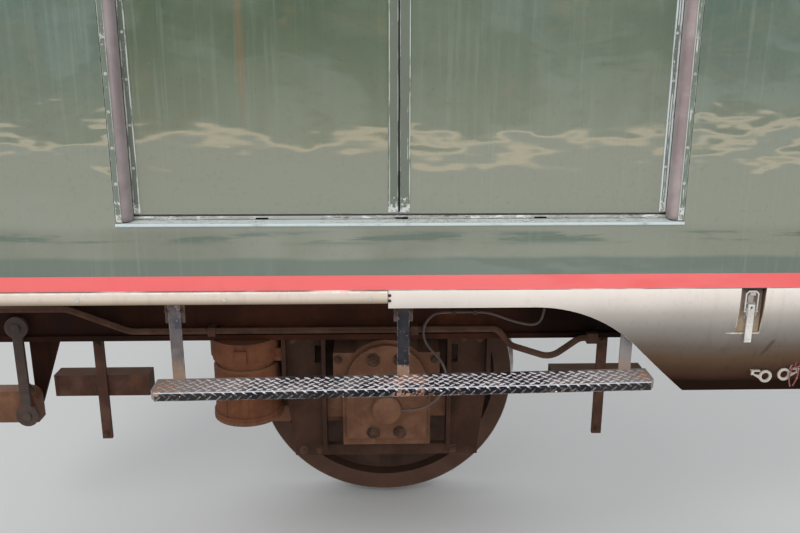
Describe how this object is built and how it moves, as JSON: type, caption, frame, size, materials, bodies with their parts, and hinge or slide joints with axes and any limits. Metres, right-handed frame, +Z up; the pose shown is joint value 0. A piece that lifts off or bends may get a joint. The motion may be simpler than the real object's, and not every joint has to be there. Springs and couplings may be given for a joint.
{
  "type": "coach side door bay",
  "caption": "Side door bay of a passenger coach: double doors with flexible hinge bands, sill, skirts, footboard, floor edge and the bogie side that shows below.",
  "frame": {"origin": "centre of the four splice bolts on the inner ends of the outer floor bearers", "axes": "+X along the coach, to the right seen from outside; +Y into the coach; +Z up"},
  "size_m": [2.8, 0.929, 3.6069],
  "materials": {
    "paint_green": "gloss",
    "paint_door": "gloss",
    "paint_skirt": "satin",
    "band": "matt",
    "strip": "satin, chipped",
    "sill": "worn",
    "under": "matt, grimy",
    "iron": "matt, grimy",
    "tread": "worn black",
    "steel": "worn",
    "glass": "clear",
    "seal": "matt",
    "floor": "matt",
    "latch": "satin"
  },
  "bodies": {
    "bay": {"axlebox": "iron", "axlebox_cable": "seal", "axlebox_cover": "iron", "body_side": "paint_green", "bogie_side_beam": "under", "brake_beams": "under", "brake_hangers": "under", "brake_pipe": "under", "cable_clips": "under", "cantrail": "paint_green", "door_header": "paint_green", "door_post_left": "paint_green", "door_post_right": "paint_green", "door_sill": "sill", "floor_bearers": "under", "footboard": "tread", "handrails": "steel", "hanger_clips": "under", "hinge_band_left": "band", "hinge_band_right": "band", "horn_plates": "under", "latch_bail": "steel", "latch_base": "latch", "latch_lever": "latch", "latch_pan": "paint_skirt", "pipe_clips": "under", "post_clamp_strips": "strip", "rain_gutter": "paint_green", "side_bearer": "under", "skirt_eyes": "latch", "skirt_gussets": "under", "skirt_panel": "paint_skirt", "skirt_rail": "paint_skirt", "solebar": "under", "spring_cup": "iron", "spring_housing": "iron", "spring_plank": "under", "step_hangers": "tread", "swing_link": "under", "vestibule_floor": "floor"},
    "leaf_left": {"door_leaf_left": "paint_door", "window_seal_left": "seal", "window_glass_left": "glass", "meeting_strip_left": "strip", "leaf_clamp_strip_left": "strip", "door_handle_left": "steel", "rim_lock_left": "steel"},
    "leaf_right": {"door_leaf_right": "paint_door", "window_seal_right": "seal", "window_glass_right": "glass", "meeting_strip_right": "strip", "leaf_clamp_strip_right": "strip", "door_handle_right": "steel", "rim_lock_right": "steel"},
    "wheelset": {"wheelset": "steel"}
  },
  "joints": [
    {"name": "leaf_left_hinge", "type": "hinge", "parent": "bay", "child": "leaf_left", "pos_m": [-0.762, -0.79, 1.096], "axis": [0, 0, 1], "range_deg": [0, 90]},
    {"name": "leaf_right_hinge", "type": "hinge", "parent": "bay", "child": "leaf_right", "pos_m": [0.762, -0.79, 1.096], "axis": [0, 0, -1], "range_deg": [0, 90]},
    {"name": "wheel_spin", "type": "hinge", "parent": "bay", "child": "wheelset", "pos_m": [-0.042, -0.16, -0.658], "axis": [0, 1, 0], "continuous": true}
  ]
}
